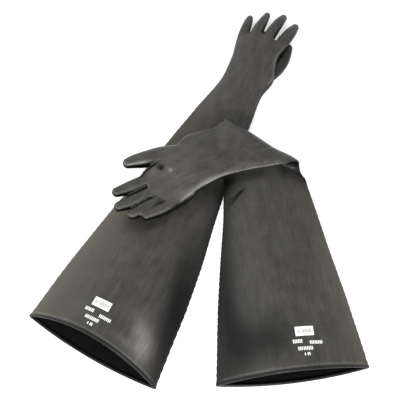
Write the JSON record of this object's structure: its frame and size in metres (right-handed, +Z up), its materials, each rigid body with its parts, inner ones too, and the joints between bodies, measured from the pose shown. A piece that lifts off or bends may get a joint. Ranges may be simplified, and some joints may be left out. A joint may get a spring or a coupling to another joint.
{
  "type": "insulating gloves",
  "caption": "Pair of long black rubber insulating gloves with wide beaded cuffs and tapered sleeves; one glove is folded over and lies palm up across the other.",
  "frame": {"origin": "on the resting surface, under the middle of the pair's bounding box", "axes": "+Y away from the cuffs, along the long way of the pair; +X to the right seen from the cuffs; +Z up from the resting surface"},
  "size_m": [0.6542, 0.794, 0.0818],
  "materials": {
    "rubber_skin": "satin",
    "cuff_bead": "satin",
    "print_ink": "matte"
  },
  "bodies": {
    "left_sleeve": {"left_cuff_bead": "cuff_bead", "left_sleeve": "rubber_skin", "left_print": "print_ink", "left_wrist": "rubber_skin"},
    "left_hand": {"left_hand": "rubber_skin"},
    "right_sleeve": {"right_cuff_bead": "cuff_bead", "right_sleeve": "rubber_skin", "right_print": "print_ink", "right_sleeve_fold": "rubber_skin"},
    "right_forearm": {"right_forearm": "rubber_skin", "right_wrist": "rubber_skin"},
    "right_hand": {"right_hand": "rubber_skin"},
    "left_index_finger": {"left_index_finger": "rubber_skin"},
    "left_middle_finger": {"left_middle_finger": "rubber_skin"},
    "left_ring_finger": {"left_ring_finger": "rubber_skin"},
    "left_little_finger": {"left_little_finger": "rubber_skin"},
    "left_thumb": {"left_thumb": "rubber_skin"},
    "right_index_finger": {"right_index_finger": "rubber_skin"},
    "right_middle_finger": {"right_middle_finger": "rubber_skin"},
    "right_ring_finger": {"right_ring_finger": "rubber_skin"},
    "right_little_finger": {"right_little_finger": "rubber_skin"},
    "right_thumb": {"right_thumb": "rubber_skin"}
  },
  "joints": [
    {"name": "left_wrist_bend", "type": "hinge", "parent": "left_sleeve", "child": "left_hand", "pos_m": [0.08936, 0.22892, 0.016], "axis": [-0.8875, 0.4608, 0], "range_deg": [-45, 45], "stiffness_Nm_per_rad": 1.5, "deforming": ["left_wrist"]},
    {"name": "right_lift", "type": "slide", "parent": "left_sleeve", "child": "right_sleeve", "axis": [0, 0, 1], "range_m": [0, 0.25]},
    {"name": "right_unfold", "type": "hinge", "parent": "right_sleeve", "child": "right_forearm", "pos_m": [0.10687, 0.08845, 0.038], "axis": [-0.832, 0.5548, 0], "range_deg": [0, 150], "deforming": ["right_sleeve_fold"]},
    {"name": "right_wrist_bend", "type": "hinge", "parent": "right_forearm", "child": "right_hand", "pos_m": [0.01473, 0.05728, 0.057], "axis": [-0.4631, 0.8863, 0], "range_deg": [0, 45], "stiffness_Nm_per_rad": 1.5, "deforming": ["right_wrist"]},
    {"name": "left_index_finger_bend", "type": "hinge", "parent": "left_hand", "child": "left_index_finger", "pos_m": [0.17129, 0.31945, 0.0072], "axis": [-0.8875, 0.4608, 0], "range_deg": [0, 75], "stiffness_Nm_per_rad": 0.1},
    {"name": "left_middle_finger_bend", "type": "hinge", "parent": "left_hand", "child": "left_middle_finger", "pos_m": [0.14644, 0.33235, 0.0077], "axis": [-0.8875, 0.4608, 0], "range_deg": [0, 75], "stiffness_Nm_per_rad": 0.1},
    {"name": "left_ring_finger_bend", "type": "hinge", "parent": "left_hand", "child": "left_ring_finger", "pos_m": [0.12159, 0.34526, 0.0072], "axis": [-0.8875, 0.4608, 0], "range_deg": [0, 75], "stiffness_Nm_per_rad": 0.1},
    {"name": "left_little_finger_bend", "type": "hinge", "parent": "left_hand", "child": "left_little_finger", "pos_m": [0.09985, 0.35655, 0.0038], "axis": [-0.8875, 0.4608, 0], "range_deg": [0, 75], "stiffness_Nm_per_rad": 0.1},
    {"name": "left_thumb_spread", "type": "hinge", "parent": "left_hand", "child": "left_thumb", "pos_m": [0.17381, 0.26158, 0.0128], "axis": [0, 0, -1], "range_deg": [0, 30], "stiffness_Nm_per_rad": 0.1},
    {"name": "right_index_finger_bend", "type": "hinge", "parent": "right_hand", "child": "right_index_finger", "pos_m": [-0.09805, 0.0181, 0.0702], "axis": [-0.4631, 0.8863, 0], "range_deg": [0, 75], "stiffness_Nm_per_rad": 0.1},
    {"name": "right_middle_finger_bend", "type": "hinge", "parent": "right_hand", "child": "right_middle_finger", "pos_m": [-0.08638, -0.00424, 0.0697], "axis": [-0.4631, 0.8863, 0], "range_deg": [0, 75], "stiffness_Nm_per_rad": 0.1},
    {"name": "right_ring_finger_bend", "type": "hinge", "parent": "right_hand", "child": "right_ring_finger", "pos_m": [-0.07471, -0.02657, 0.0702], "axis": [-0.4631, 0.8863, 0], "range_deg": [0, 75], "stiffness_Nm_per_rad": 0.1},
    {"name": "right_little_finger_bend", "type": "hinge", "parent": "right_hand", "child": "right_little_finger", "pos_m": [-0.06369, -0.04767, 0.074], "axis": [-0.4631, 0.8863, 0], "range_deg": [0, 75], "stiffness_Nm_per_rad": 0.1},
    {"name": "right_thumb_spread", "type": "hinge", "parent": "right_hand", "child": "right_thumb", "pos_m": [-0.085, 0.07129, 0.0635], "axis": [0, 0, -1], "range_deg": [0, 30], "stiffness_Nm_per_rad": 0.1}
  ]
}
